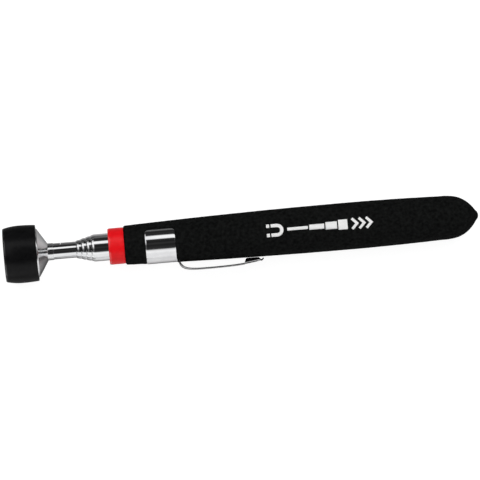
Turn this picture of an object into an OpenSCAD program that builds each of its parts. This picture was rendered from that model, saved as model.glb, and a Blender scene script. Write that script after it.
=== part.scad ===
// Telescoping magnetic pickup tool with a cushioned handle and a pocket clip.
// The tool's axis is the X axis. The magnet's face is at X = 0 and the tip of the grip is at +X.
// +Z is up, and the pocket clip is on the -Y side. All sizes are in millimetres.

/* [Overall] */
// Length of the closed tool, from the magnet's face to the tip of the grip
tool_len = 206; // [200:1:230]

/* [Magnet head] */
// Largest diameter of the black shield round the magnet
shield_d = 25; // [24.6:0.2:28]
// Length of the shield
shield_len = 14.3; // [13.6:0.1:15]
// Diameter of the steel pole cup inside the shield
cup_d = 21.2; // [19:0.2:21.6]
// Diameter of the disc magnet
magnet_d = 16.4; // [12:0.2:16.8]
// Thickness of the magnet
magnet_h = 10; // [6:0.2:10]
// Length of the turned cone behind the shield
cone_len = 4.7; // [4.2:0.1:5]

/* [Telescope] */
// Outer diameter of the thinnest section, which carries the head
rod_d = 7; // [6.4:0.1:7]
// Growth in diameter from each section to the next
step_d = 1.2; // [1.1:0.02:1.2]
// Wall of every tube but the thinnest
wall = 0.35; // [0.3:0.01:0.36]
// X of the front lip of section 2, the first tube that the rod slides in
first_lip_x = 31.3; // [31:0.1:33]
// Distance from each front lip to the next one behind it
lip_pitch = 2.2; // [2:0.05:2.4]
// X of the back end of section 5 when the tool is closed
rear_x = 181; // [150:1:181]

/* [Collar and grip] */
// Diameter of the red collar
collar_d = 15.8; // [15:0.1:16.2]
// X of the collar's front face
collar_x = 45.4; // [45:0.1:46]
// Length of the collar
collar_len = 6.9; // [5:0.1:7]
// Largest diameter of the foam grip
grip_d = 20.4; // [20:0.1:23]
// Diameter of the foam grip at its front end
grip_front_d = 17; // [16.6:0.1:17.4]

/* [Pocket clip] */
// X of the front edge of the clip's band
band_x = 61.5; // [60:0.1:63]
// Length of the band along the tool
band_len = 12.85; // [10:0.05:13]
// Part of the circle that the band wraps round
band_wrap = 265; // [200:1:270]
// Thickness of the clip's steel
clip_t = 0.55; // [0.4:0.05:0.6]
// Width of the clip's tongue
tongue_w = 6.4; // [6:0.1:7]
// Distance from the tool's axis to the outside of the tongue
tongue_out = 13.25; // [13.2:0.05:14]

/* [Hidden] */
$fn = 96;

// Colours
chrome = [0.80, 0.81, 0.83];
satin_metal = [0.68, 0.69, 0.70];
bronze = [0.72, 0.53, 0.28];
shield_black = [0.05, 0.05, 0.055];
foam_black = [0.09, 0.09, 0.10];
collar_red = [0.88, 0.09, 0.10];

// Head
shield_r = shield_d / 2;
shield_front_r = shield_r - 0.95;      // just behind the rounded front edge
shield_back_r = shield_r - 0.35;       // at the square back edge
shield_round = 0.7;                    // rounding of the front edge
shield_peak_x = shield_len / 2;        // where the barrel is widest
cup_r = cup_d / 2;
cup_wall = 1.2;
cup_floor = 2.6;
cup_depth = magnet_h + cup_floor;
magnet_r = magnet_d / 2;
magnet_edge = 0.3;                     // chamfer round the magnet's face
spacer_sink = 0.2;                     // the resin ring stops this far short of the face
rivet_r = 1.6;
rivet_head_r = 3;
rivet_head_h = 1.4;
rivet_end_x = cup_depth + 3.4;
neck_r = rod_d / 2 + 0.2;              // collar between the cone and the rod
neck_len = 2.4;
neck_edge = 0.2;                       // chamfer of the collar where the rod butts against it
cone_x = shield_len - 0.2;             // the cone's rounded rim starts just inside the shield
cone_end_x = shield_len + cone_len;
rim_round = 1;                         // rounding of the cone's rim
rim_turn = 56;                         // how far the rounding turns before the cone goes straight
rod_front_x = cone_end_x + neck_len;
spigot_len = 8;
crimp_x = rod_front_x + 3.3;
crimp_r = 0.5;
crimp_depth = 0.4;
crimp_wall = 0.3;                      // metal left under the crimp
crimp_turn = 25;                       // how far round from +Y towards +Z the crimp is
crimp_half_len = 1.4;                  // half the length of the groove that the crimp bites into

// Telescope: section 1 is the rod, sections 2 to 5 are tubes, section 6 is the handle tube
rod_wall = 0.5;
last_section = 6;
lip_gap = 0.08;                        // radial running gap between a lip and the section inside it
bush_gap = 0.03;                       // radial running gap of the bushes and the friction springs
lip_round = 1.8;                       // length of the rolled shoulder
lip_t = 0.7;                           // thickness of the rolled-in edge
stop_gap = 0.1;                        // left between the stop bead and the lip at full reach
bead_len = 0.8;
bead_h = 0.18;
bead_slope = 0.15;
spring_len = 8;
spring_arc = 170;                      // each half shell of a pair of friction springs
bush_flange = 1.6;
bush_spigot = 2;
section_stagger = 4;                   // distance between the back ends of nested sections
swivel_gap = 0.05;                     // radial running gap where the rod turns in its springs and bush
swivel_end_gap = 0.15;                 // and along the axis
collar_lip = 0.9;                      // front wall of the red collar
handle_lip_x = collar_x + collar_lip + 0.1;
handle_rear_x = rear_x + 9;
plug_depth = 6;
plug_flange = 1.5;

// Grip
grip_r = grip_d / 2;
grip_front_r = grip_front_d / 2;
grip_x = collar_x + collar_len;
grip_edge = 0.8;                       // rounding of the foam's front edge
grip_widest_x = 150;
nose_len = 17;
nose_x = tool_len - nose_len;
nose_drop = 0.7;                       // how much thinner the grip is where the nose begins
nose_fullness = 3.1;                   // shoulder of the nose: higher is squarer
nose_flank = 1.15;                     // flank of the nose: 1 is straight
profile_steps = 16;

// Clip
band_r = 9.1;                          // outside of the band, level with the foam
band_corner = 1.8;
corner_facets = 12;                    // three flats round each corner off
corner_over = 0.5;                     // how far the corner's cutter reaches past the plate's edges
corner_proud = 0.05;                   // makes the flats cross the plate's edges and not just meet them
band_gap = 0.15;                       // foam recess left round the band
band_gap_turn = 2;                     // and past its two ends, in degrees
band_start = 270 - band_wrap / 2;      // puts the band's opening on the +Y side
tongue_x = band_x + band_len + 0.25;   // the tongue's root, just clear of the band
tongue_len = 37.2;
tongue_bend = 12;                      // length of the outward bend at the root
tongue_end_x = tongue_x + tongue_len;
tongue_run_x = tongue_x + tongue_bend;
tongue_in = 1.65;                      // how far the tip comes back towards the foam
foot_x = tongue_x + 32.9;              // centre of the pressed foot near the tip
foot_len = 6.6;
foot_w = 4.6;
foot_gap = 0.3;                        // left between the foot and the foam
root_clear = 0.35;                     // room round the moving root of the tongue
root_len = 2.6;

// Outer radius of section k
function tube_r(k) = rod_d / 2 + (k - 1) * step_d / 2;

// Inner radius of section k
function bore_r(k) = tube_r(k) - (k == 1 ? rod_wall : wall);

// X of the front lip of section k
function lip_x(k) = k == last_section ? handle_lip_x : first_lip_x + (k - 2) * lip_pitch;

// X of the back end of section k
function tube_rear_x(k) = k == last_section ? handle_rear_x : rear_x - (5 - k) * section_stagger;

// X of the front of the stop bead on section k
function bead_x(k) = tube_rear_x(k) - spring_len - bead_len;

// How far section k slides out of section k + 1: its bead comes up to the next lip
function travel(k) = bead_x(k) - lip_x(k + 1) - lip_t - stop_gap;

// Outer radius of whatever runs inside section k
function running_r(k) = bore_r(k) - bush_gap;

// Outline points of a quarter ellipse from [r0, x0], where it runs outward, to [r1, x1], where it runs back
function rolled_edge(r0, x0, r1, x1) = [
    for (i = [0 : profile_steps / 2])
        let (a = 90 * i / (profile_steps / 2))
        [r0 + (r1 - r0) * sin(a), x0 + (x1 - x0) * (1 - cos(a))]
];

// Radius of the shield's barrel at x, one half of a parabola each side of its widest place
function shield_r_at(x) =
    let (drop = x < shield_peak_x ? shield_r - shield_front_r : shield_r - shield_back_r)
    shield_r - drop * pow((x - shield_peak_x) / shield_peak_x, 2);

// Radius of the foam at x: a long taper forward, a shorter one back, then the nose
function grip_taper(x) = x < grip_widest_x
    ? grip_r - (grip_r - grip_front_r) * pow((grip_widest_x - x) / (grip_widest_x - grip_x), 2)
    : grip_r - nose_drop * pow((x - grip_widest_x) / (nose_x - grip_widest_x), 2);
function grip_nose(x) =
    grip_taper(nose_x) * pow(1 - pow((x - nose_x) / nose_len, nose_fullness), 1 / nose_flank);
function grip_r_at(x) = x < nose_x ? grip_taper(x) : grip_nose(x);

// A point at fraction t of a cubic curve with the control points p
function curve_point(p, t) =
    pow(1 - t, 3) * p[0] + 3 * t * pow(1 - t, 2) * p[1] + 3 * t * t * (1 - t) * p[2] + pow(t, 3) * p[3];

// Unit normal at point i of a path, on its left side
function path_normal(path, i) =
    let (step = path[min(i + 1, len(path) - 1)] - path[max(i - 1, 0)])
    [-step.y, step.x] / norm(step);

// A solid turned about the X axis. The outline's points are [radius, x].
// An arc starts at start degrees and covers arc degrees, counted from -Z towards +Y.
module turned(outline, start = 0, arc = 360) {
    rotate([0, 90, 0])
        rotate([0, 0, start])
            rotate_extrude(angle = arc)
                polygon(outline);
}

// A plain ring or disc about the X axis
module ring(x0, x1, r_in, r_out, start = 0, arc = 360) {
    turned([[r_in, x0], [r_out, x0], [r_out, x1], [r_in, x1]], start, arc);
}

// Outline of the stop bead on section k
function bead_outline(k) = [
    [tube_r(k), bead_x(k)],
    [tube_r(k) + bead_h, bead_x(k) + bead_slope],
    [tube_r(k) + bead_h, bead_x(k) + bead_len - bead_slope],
    [tube_r(k), bead_x(k) + bead_len]
];

// A tube with a rolled-in front lip, and a stop bead unless it is the handle's
module lipped_tube(k) {
    lip_bore = tube_r(k - 1) + lip_gap;
    turned([
        each rolled_edge(lip_bore, lip_x(k), tube_r(k), lip_x(k) + lip_round),
        each (k < last_section ? bead_outline(k) : []),
        [tube_r(k), tube_rear_x(k)],
        [bore_r(k), tube_rear_x(k)],
        [bore_r(k), lip_x(k) + lip_t],
        [lip_bore, lip_x(k) + lip_t]
    ]);
}

module magnet_shield() {
    edge_r = shield_r_at(shield_round);
    color(shield_black)
        turned([
            [cup_r, 0],
            each rolled_edge(edge_r - shield_round, 0, edge_r, shield_round),
            for (i = [1 : profile_steps])
                let (x = shield_round + (shield_len - shield_round) * i / profile_steps)
                [shield_r_at(x), x],
            [cup_r, shield_len]
        ]);
}

module pole_cup() {
    color(satin_metal)
        turned([
            [cup_r - cup_wall, 0],
            [cup_r, 0],
            [cup_r, cup_depth],
            [rivet_r, cup_depth],
            [rivet_r, magnet_h + rivet_head_h],
            [rivet_head_r, magnet_h],
            [cup_r - cup_wall, magnet_h]
        ]);
}

module magnet() {
    color(chrome)
        turned([
            [0, 0],
            [magnet_r - magnet_edge, 0],
            [magnet_r, magnet_edge],
            [magnet_r, magnet_h],
            [0, magnet_h]
        ]);
}

module spacer_ring() {
    color(shield_black)
        ring(max(spacer_sink, magnet_edge), magnet_h, magnet_r, cup_r - cup_wall);
}

module cup_rivet() {
    color(satin_metal)
        turned([
            [0, magnet_h],
            [rivet_head_r, magnet_h],
            [rivet_r, magnet_h + rivet_head_h],
            [rivet_r, rivet_end_x],
            [0, rivet_end_x]
        ]);
}

module magnet_housing() {
    spigot_r = bore_r(1);
    color(satin_metal)
        turned([
            [0, rivet_end_x],
            [rivet_r, rivet_end_x],
            [rivet_r, cup_depth],
            [cup_r, cup_depth],
            for (turn = [0 : rim_turn / 7 : rim_turn])
                [cup_r - rim_round * (1 - cos(turn)), cone_x + rim_round * sin(turn)],
            [neck_r, cone_end_x],
            [neck_r, rod_front_x - neck_edge],
            [neck_r - neck_edge, rod_front_x],
            [spigot_r, rod_front_x],
            [spigot_r, crimp_x - crimp_half_len],
            [spigot_r - crimp_depth, crimp_x - crimp_half_len + crimp_depth],
            [spigot_r - crimp_depth, crimp_x + crimp_half_len - crimp_depth],
            [spigot_r, crimp_x + crimp_half_len],
            [spigot_r, rod_front_x + spigot_len],
            [0, rod_front_x + spigot_len]
        ]);
}

module inner_rod() {
    crimp_out = tube_r(1) + crimp_r - crimp_depth;
    crimp_centre = [crimp_x, crimp_out * cos(crimp_turn), crimp_out * sin(crimp_turn)];
    color(chrome)
        difference() {
            union() {
                turned([
                    [bore_r(1), rod_front_x],
                    [tube_r(1), rod_front_x],
                    each bead_outline(1),
                    [tube_r(1), tube_rear_x(1)],
                    [bore_r(1), tube_rear_x(1)]
                ]);
                // The metal that the crimp pushes into the bore
                intersection() {
                    translate(crimp_centre) sphere(r = crimp_r + crimp_wall);
                    ring(crimp_x - crimp_r, crimp_x + crimp_r, 0, bore_r(1) + rod_wall / 2);
                }
            }
            translate(crimp_centre) sphere(r = crimp_r);
        }
}

// The two half shells round the back end of section k, which rub inside the next section
module friction_springs(k) {
    play = k == 1 ? swivel_gap : 0;
    end_play = k == 1 ? swivel_end_gap : 0;
    color(bronze)
        for (start = [0, 180])
            ring(bead_x(k) + bead_len + end_play, tube_rear_x(k) + end_play,
                tube_r(k) + play, running_r(k + 1), start, spring_arc);
}

// The bush in the back end of section k: a spigot inside it and a flange that fills the next section
module stop_bush(k) {
    play = k == 1 ? swivel_gap : 0;
    end_play = k == 1 ? swivel_end_gap : 0;
    face_x = tube_rear_x(k) + end_play;
    spigot_r = bore_r(k) - play;
    color(bronze)
        turned([
            [spigot_r / 2, face_x - bush_spigot],
            [spigot_r, face_x - bush_spigot],
            [spigot_r, face_x],
            [running_r(k + 1), face_x],
            [running_r(k + 1), face_x + bush_flange],
            [spigot_r / 2, face_x + bush_flange]
        ]);
}

module handle_end_plug() {
    color(shield_black) {
        ring(handle_rear_x - plug_depth, handle_rear_x, 0, bore_r(last_section));
        ring(handle_rear_x, handle_rear_x + plug_flange, 0, tube_r(last_section));
    }
}

module front_collar() {
    collar_r = collar_d / 2;
    edge = 0.4;
    back_x = collar_x + collar_len;
    color(collar_red)
        turned([
            [tube_r(5) + lip_gap, collar_x],
            each rolled_edge(collar_r - edge, collar_x, collar_r, collar_x + edge),
            [collar_r, back_x],
            [tube_r(last_section), back_x],
            [tube_r(last_section), collar_x + collar_lip],
            [tube_r(5) + lip_gap, collar_x + collar_lip]
        ]);
}

module grip_sleeve() {
    inner_r = tube_r(last_section);
    taper_x = grip_x + grip_edge;
    color(foam_black)
        difference() {
            turned([
                [inner_r, grip_x],
                each rolled_edge(grip_r_at(grip_x) - grip_edge, grip_x, grip_r_at(taper_x), taper_x),
                for (i = [1 : profile_steps])
                    let (x = taper_x + (nose_x - taper_x) * i / profile_steps)
                    [grip_r_at(x), x],
                // The nose's points crowd towards the tip, where it turns fastest
                for (i = [1 : profile_steps])
                    let (x = nose_x + nose_len * sin(90 * i / profile_steps))
                    [grip_r_at(x), x],
                [0, handle_rear_x + plug_flange],
                [inner_r, handle_rear_x + plug_flange]
            ]);
            // Recess for the clip's band
            ring(band_x - band_gap, band_x + band_len + band_gap, band_r - clip_t, grip_r,
                band_start - band_gap_turn, band_wrap + 2 * band_gap_turn);
            // Room for the root of the tongue
            translate([band_x + band_len, -grip_r, -tongue_w / 2 - root_clear])
                cube([root_len, grip_r - band_r + clip_t + root_clear, tongue_w + 2 * root_clear]);
        }
}

// What rounds one corner of the band's plate off: a square with a circle taken out of it, pushed out
// along the radius at turn degrees from +Y. side is 1 at the back edge and -1 at the front edge,
// and end is 1 at the upper end of the band and -1 at the lower end.
module band_corner_cut(side, end, turn) {
    centre = [-side, -end] * band_corner;
    translate([side > 0 ? band_x + band_len : band_x, 0, 0])
        rotate([end * turn - 90, 0, 0])
            linear_extrude(height = band_r + 1)
                difference() {
                    translate((centre + [side, end] * corner_over) / 2)
                        square(band_corner + corner_over, center = true);
                    translate(centre) circle(r = band_corner + corner_proud, $fn = corner_facets);
                }
}

module clip_band() {
    color(chrome)
        difference() {
            ring(band_x, band_x + band_len, band_r - clip_t, band_r, band_start, band_wrap);
            for (side = [-1, 1])
                for (end = [-1, 1])
                    band_corner_cut(side, end, (360 - band_wrap) / 2);
        }
}

// Distance from the axis to the tongue's middle line at x, past its bend
function tongue_mid_at(x) =
    tongue_out - clip_t / 2 - tongue_in * pow((x - tongue_run_x) / (tongue_end_x - tongue_run_x), 3);

// Middle line of the tongue as [x, y]: the root, the outward bend and the long run to the tip
function tongue_path() =
    let (root_y = clip_t / 2 - band_r, run_y = -tongue_mid_at(tongue_run_x))
    [
        [tongue_x, root_y],
        for (i = [0 : profile_steps])
            curve_point([
                [tongue_x + tongue_bend * 0.05, root_y],
                [tongue_x + tongue_bend * 0.15, root_y + (run_y - root_y) * 0.8],
                [tongue_x + tongue_bend * 0.4, run_y],
                [tongue_run_x, run_y]
            ], i / profile_steps),
        for (i = [1 : profile_steps])
            let (x = tongue_run_x + (tongue_end_x - tongue_run_x) * i / profile_steps)
            [x, -tongue_mid_at(x)]
    ];

// The bent strip of the tongue, before its tip is rounded
module tongue_strip() {
    path = tongue_path();
    last = len(path) - 1;
    offset_path = [for (i = [0 : last]) path_normal(path, i) * clip_t / 2];
    translate([0, 0, -tongue_w / 2])
        linear_extrude(height = tongue_w)
            polygon([
                for (i = [0 : last]) path[i] + offset_path[i],
                for (i = [last : -1 : 0]) path[i] - offset_path[i]
            ]);
}

// The tongue's outline seen from -Y, with its round tip
module tongue_outline() {
    tip_r = tongue_w / 2;
    rotate([90, 0, 0])
        linear_extrude(height = tongue_out + 1) {
            translate([tongue_x, -tip_r]) square([tongue_len - tip_r, tongue_w]);
            translate([tongue_end_x - tip_r, 0]) circle(r = tip_r);
        }
}

// A low mound with round ends, len long and 2 * r wide, that rises h towards +Y
module mound(r, len, h) {
    shoulder = [[r, 0], [r * 0.95, h * 0.5], [r * 0.8, h * 0.85], [r * 0.5, h]];
    half_run = len / 2 - r;
    rotate([-90, 0, 0]) {
        for (side = [-1, 1])
            translate([side * half_run, 0, 0]) rotate_extrude() polygon([[0, 0], each shoulder, [0, h]]);
        translate([-half_run, 0, 0])
            rotate([90, 0, 90])
                linear_extrude(height = 2 * half_run)
                    polygon([each shoulder, for (i = [3 : -1 : 0]) [-shoulder[i].x, shoulder[i].y]]);
    }
}

module clip_spring() {
    foot_h = tongue_mid_at(foot_x) - grip_r_at(foot_x) - foot_gap;
    hollow_h = tongue_out - grip_r_at(foot_x) - foot_gap - clip_t;
    color(chrome)
        difference() {
            union() {
                intersection() {
                    tongue_strip();
                    tongue_outline();
                }
                translate([foot_x, -tongue_mid_at(foot_x), 0]) mound(foot_w / 2, foot_len, foot_h);
            }
            // The foot is pressed, so it is hollow on the outside
            translate([foot_x, -tongue_out, 0])
                mound(foot_w / 2 - clip_t, foot_len - 2 * clip_t, hollow_h);
        }
}

magnet_shield();
pole_cup();
magnet();
spacer_ring();
cup_rivet();
magnet_housing();
inner_rod();
color(chrome) lipped_tube(2);  // tube_2
color(chrome) lipped_tube(3);  // tube_3
color(chrome) lipped_tube(4);  // tube_4
color(chrome) lipped_tube(5);  // tube_5
friction_springs(1);  // friction_springs_1
friction_springs(2);  // friction_springs_2
friction_springs(3);  // friction_springs_3
friction_springs(4);  // friction_springs_4
friction_springs(5);  // friction_springs_5
stop_bush(1);  // stop_bush_1
stop_bush(2);  // stop_bush_2
stop_bush(3);  // stop_bush_3
stop_bush(4);  // stop_bush_4
stop_bush(5);  // stop_bush_5
color(chrome) lipped_tube(last_section);  // handle_tube
handle_end_plug();
front_collar();
grip_sleeve();
clip_band();
clip_spring();
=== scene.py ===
"""Looks of a telescoping magnetic pickup tool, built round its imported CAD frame.

The frame is in metres: the magnet's face is at x = 0, the grip's tip is at +X, +Z is up and the pocket
clip is on the -Y side. Shapes are worked out here in millimetres and scaled as each mesh is made.
"""

import math

import bmesh
import bpy
from mathutils import Matrix, Vector, noise


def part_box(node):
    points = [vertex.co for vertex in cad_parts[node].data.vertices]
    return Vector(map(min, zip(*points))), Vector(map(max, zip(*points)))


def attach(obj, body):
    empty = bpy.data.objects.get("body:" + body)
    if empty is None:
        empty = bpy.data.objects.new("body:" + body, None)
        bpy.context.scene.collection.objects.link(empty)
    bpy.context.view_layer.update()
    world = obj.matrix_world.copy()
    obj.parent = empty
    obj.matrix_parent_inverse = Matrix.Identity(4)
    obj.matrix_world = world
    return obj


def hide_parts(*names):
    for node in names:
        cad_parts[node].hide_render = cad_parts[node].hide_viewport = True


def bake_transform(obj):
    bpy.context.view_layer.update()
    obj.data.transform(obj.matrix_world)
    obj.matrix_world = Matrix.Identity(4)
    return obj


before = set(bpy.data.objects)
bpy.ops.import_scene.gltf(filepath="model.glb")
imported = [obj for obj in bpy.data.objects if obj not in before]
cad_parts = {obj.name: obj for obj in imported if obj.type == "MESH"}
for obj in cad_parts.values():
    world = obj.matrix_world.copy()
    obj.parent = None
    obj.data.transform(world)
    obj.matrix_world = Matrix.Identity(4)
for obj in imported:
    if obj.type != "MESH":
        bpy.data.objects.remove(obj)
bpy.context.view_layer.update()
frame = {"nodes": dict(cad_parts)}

MM = 0.001
SEGMENTS = 128                  # facets round a turned piece
ROUND_STEPS = 4                 # facets of a rounded corner
TINY = 1e-6
HANDLE = "handle"
ROD = "rod"


def extent(node):
    """Lowest and highest corner of a CAD node at rest, in millimetres."""
    low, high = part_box(node)
    return low / MM, high / MM


# ------------ sizes, in millimetres
# Head
SHIELD_LEN = extent("magnet_shield")[1].x
SHIELD_R = extent("magnet_shield")[1].z
SHIELD_FRONT_DROP = 0.95        # barrel shape: how much thinner the shield is at its front
SHIELD_BACK_DROP = 0.35
SHIELD_ROUND = 0.7
SHIELD_GLOSS_X = 0.6            # its front edge is glossier up to here, fading over SHIELD_GLOSS_FADE
SHIELD_GLOSS_FADE = 0.35
SHIELD_PLAY = 0.02              # between the shield's bore and the cup
CUP_R = extent("pole_cup")[1].z
CUP_DEPTH = extent("pole_cup")[1].x
CUP_WALL = 1.2
MAGNET_R = extent("magnet")[1].z
MAGNET_H = extent("magnet")[1].x
RIVET_R = 1.6
RIVET_HEAD_R = 3.0
RIVET_HEAD_H = 1.4
RIVET_END = extent("cup_rivet")[1].x
SPACER_DEPTH = 0.3              # how far back the resin lies at its edges
SPACER_SAG = 0.22               # and how much further in its middle
CONE_X = SHIELD_LEN - 0.2
CONE_END = SHIELD_LEN + 4.7
CONE_RIM_ROUND = 1.0
CONE_RIM_TURN = math.radians(57)
NECK_R = 3.7

# Telescope: section 1 is the rod, 2 to 5 are tubes and 6 is the tube inside the handle
BEAD_H = 0.18
BEAD_LEN = 0.8
BEAD_SLOPE = 0.15
SPRING_LEN = 8.0
LIP_ROUND = 1.8
LIP_FLAT = 0.08                 # height of the lip's front face
LIP_T = 0.7
LIP_GAP = 0.08
ROD_WALL = 0.5
TUBE_WALL = 0.35
LAST_SECTION = 6
SECTION_NODES = {1: "inner_rod", 2: "tube_2", 3: "tube_3", 4: "tube_4", 5: "tube_5", 6: "handle_tube"}
SECTION_BODIES = {1: ROD, 2: "section_2", 3: "section_3", 4: "section_4", 5: "section_5", 6: HANDLE}
# Every section but the last has a stop bead, which stands proud of its radius
SECTION_R = {
    k: extent(node)[1].z - (BEAD_H if k < LAST_SECTION else 0)
    for k, node in SECTION_NODES.items()
}
ROD_FRONT = extent("inner_rod")[0].x
SPIGOT_R = 3.0                  # the housing's spigot inside the rod, with a groove under the crimp
SPIGOT_END = ROD_FRONT + 8
GROOVE_HALF_LEN = 1.4
CRIMP_X = ROD_FRONT + 3.3
CRIMP_R = 0.62
CRIMP_DEPTH = 0.5
CRIMP_TURN = math.radians(25)   # from +Y towards +Z
CRIMP_SWELL = 0.06              # height of the metal pushed up round it
CRIMP_REACH = 2 * CRIMP_R

# Collar and grip
collar_low, collar_high = extent("front_collar")
COLLAR_X = collar_low.x
COLLAR_R = collar_high.z
COLLAR_LIP = 0.9
COLLAR_BEVEL = 0.16             # a shallow bevel round the front edge
COLLAR_BEVEL_LEN = 0.7
COLLAR_GLOSS_FADE = 0.3
COLLAR_BACK_BEVEL = 0.06
COLLAR_BACK_BEVEL_LEN = 1.0
GRIP_X = extent("grip_sleeve")[0].x
GRIP_END = extent("grip_sleeve")[1].x
GRIP_R = 10.2
GRIP_FRONT_R = 8.5
GRIP_EDGE = 0.8
GRIP_WIDEST = 150.0
GRIP_BORE_END = 191.5
NOSE_LEN = 17.0
NOSE_X = GRIP_END - NOSE_LEN
NOSE_DROP = 0.7
NOSE_FULLNESS = 3.1
NOSE_FLANK = 1.15
NOSE_TIP_FROM = 0.93            # the part of the nose past which its tip turns blunter
NOSE_TIP_FLANK = 1.5
FOAM_CELL = 0.32                # the ink on the foam shows the same cells

# Pocket clip
band_low, band_high = extent("clip_band")
BAND_X = band_low.x
BAND_END = band_high.x
BAND_R = -band_low.y
BAND_WRAP = math.radians(265)
TUCK_START = math.radians(80)   # where the band starts to come in towards its ends, counted from the tongue
TUCK_EASE = 3.9
TUCK_SLOPE = 0.125
BAND_CORNER = 1.8
BAND_GAP = 0.15                 # between the band's edge and the foam
BAND_BED_GAP = 0.05             # between the band's inside and the foam
BAND_EDGE_SLOPE = 0.12          # width of the step in the foam at the band's edge
BAND_EDGE_ROLL = 0.11           # how far the band's edges are rolled in, over BAND_EDGE_REACH
BAND_EDGE_REACH = 0.8
SWELL_H = 0.16                  # how far the foam beside the band is squeezed up, fading over SWELL_REACH
SWELL_REACH = 1.6
CLIP_T = 0.55
CLIP_MIDDLE_R = BAND_R - CLIP_T / 2
CLIP_EDGE_ROUND = 0.14
tongue_low, tongue_high = extent("clip_spring")
TONGUE_END = tongue_high.x
TONGUE_OUT = -tongue_low.y
TONGUE_HALF_W = tongue_high.z
TONGUE_BEND_END = tongue_low.x + 12.0
TONGUE_CROWN_END = TONGUE_BEND_END - 6
TONGUE_IN = 1.65                # how far the tip comes back towards the foam
TONGUE_FLARE = 1.0              # how much wider each side of the tongue is at its root
TONGUE_FLATTER = 5.5            # how much larger the radius of its crown is past the bend than at the root
TIP_CURL = 0.8                  # how far its edge is turned in, over the last TIP_CURL_LEN
TIP_CURL_LEN = 1.1
FOOT_X = tongue_low.x + 32.5
FOOT_HALF_LEN = 3.8
FOOT_HALF_W = 2.4
FOOT_GAP = 0.15


# ------------ mesh tools
def smooth_step(value, start, end):
    """0 before start, 1 after end, and a smooth rise between them."""
    t = min(1.0, max(0.0, (value - start) / (end - start)))
    return t * t * (3 - 2 * t)


def even_steps(start, end, steps):
    """Numbers from start to end in equal steps, with both ends."""
    return [start + (end - start) * i / steps for i in range(steps + 1)]


def rounded(corners):
    """A closed outline of (x, r) points from corners (x, r, rounding). A rounding of 0 is sharp."""
    points = []
    for i, (x, r, rounding) in enumerate(corners):
        corner = Vector((x, r))
        if rounding == 0:
            points.append(tuple(corner))
            continue
        before = (Vector(corners[i - 1][:2]) - corner).normalized()
        after = (Vector(corners[(i + 1) % len(corners)][:2]) - corner).normalized()
        half_angle = math.acos(max(-1.0, min(1.0, before.dot(after)))) / 2
        centre = corner + (before + after).normalized() * (rounding / math.sin(half_angle))
        first = corner + before * (rounding / math.tan(half_angle)) - centre
        last = corner + after * (rounding / math.tan(half_angle)) - centre
        turn = math.atan2(first.x * last.y - first.y * last.x, first.dot(last))
        for k in range(ROUND_STEPS + 1):
            point = centre + Matrix.Rotation(turn * k / ROUND_STEPS, 2) @ first
            points.append(tuple(point))
    return points


def curve(function, start, end, steps):
    """Corners (x, function(x), 0) at equal steps from start to end."""
    return [(x, function(x), 0) for x in even_steps(start, end, steps)]


def front_round(x, r, radius, steps):
    """Corners of a round front edge, from the face at x to the outside at r."""
    return [(x + radius * (1 - math.cos(t)), r - radius * (1 - math.sin(t)), 0)
            for t in even_steps(0, math.pi / 2, steps)]


def finish_mesh(name, mesh_points, faces, body):
    """Makes an object from points in millimetres, with faces that look outward and smooth shading."""
    mesh = bpy.data.meshes.new(name)
    mesh.from_pydata([Vector(p) * MM for p in mesh_points], [], faces)
    work = bmesh.new()
    work.from_mesh(mesh)
    bmesh.ops.recalc_face_normals(work, faces=work.faces)
    work.to_mesh(mesh)
    work.free()
    mesh.shade_smooth()
    piece = bpy.data.objects.new(name, mesh)
    bpy.context.scene.collection.objects.link(piece)
    if body:
        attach(piece, body)
    return piece


def even_normals(piece):
    """Keeps flat faces flat beside the small rounded edges."""
    modifier = piece.modifiers.new("even_normals", "WEIGHTED_NORMAL")
    modifier.weight = 90
    return piece


def lathe(name, outline, body, segments=SEGMENTS, shape=None):
    """A piece turned about the X axis from a closed outline of (x, r) points.

    shape(x, r, angle) may give each point a new radius. Angle 0 is +Y and a quarter turn is +Z.
    """
    points = []
    rings = []
    for x, r in outline:
        if r < TINY:
            rings.append([len(points)])
            points.append((x, 0, 0))
            continue
        rings.append(list(range(len(points), len(points) + segments)))
        for i in range(segments):
            angle = 2 * math.pi * i / segments
            radius = shape(x, r, angle) if shape else r
            points.append((x, radius * math.cos(angle), radius * math.sin(angle)))
    faces = []
    for a, b in zip(rings, rings[1:] + rings[:1]):
        if len(a) == len(b) == 1:
            continue
        for i in range(segments):
            j = (i + 1) % segments
            corners = [a[i % len(a)], a[j % len(a)], b[j % len(b)], b[i % len(b)]]
            faces.append(list(dict.fromkeys(corners)))
    return even_normals(finish_mesh(name, points, faces, body))


def solid_of(piece):
    """Applies the piece's modifiers, so that what is seen is its own mesh."""
    bpy.context.view_layer.update()
    seen = piece.evaluated_get(bpy.context.evaluated_depsgraph_get())
    mesh = bpy.data.meshes.new_from_object(seen)
    piece.modifiers.clear()
    piece.data = mesh
    return piece


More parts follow.
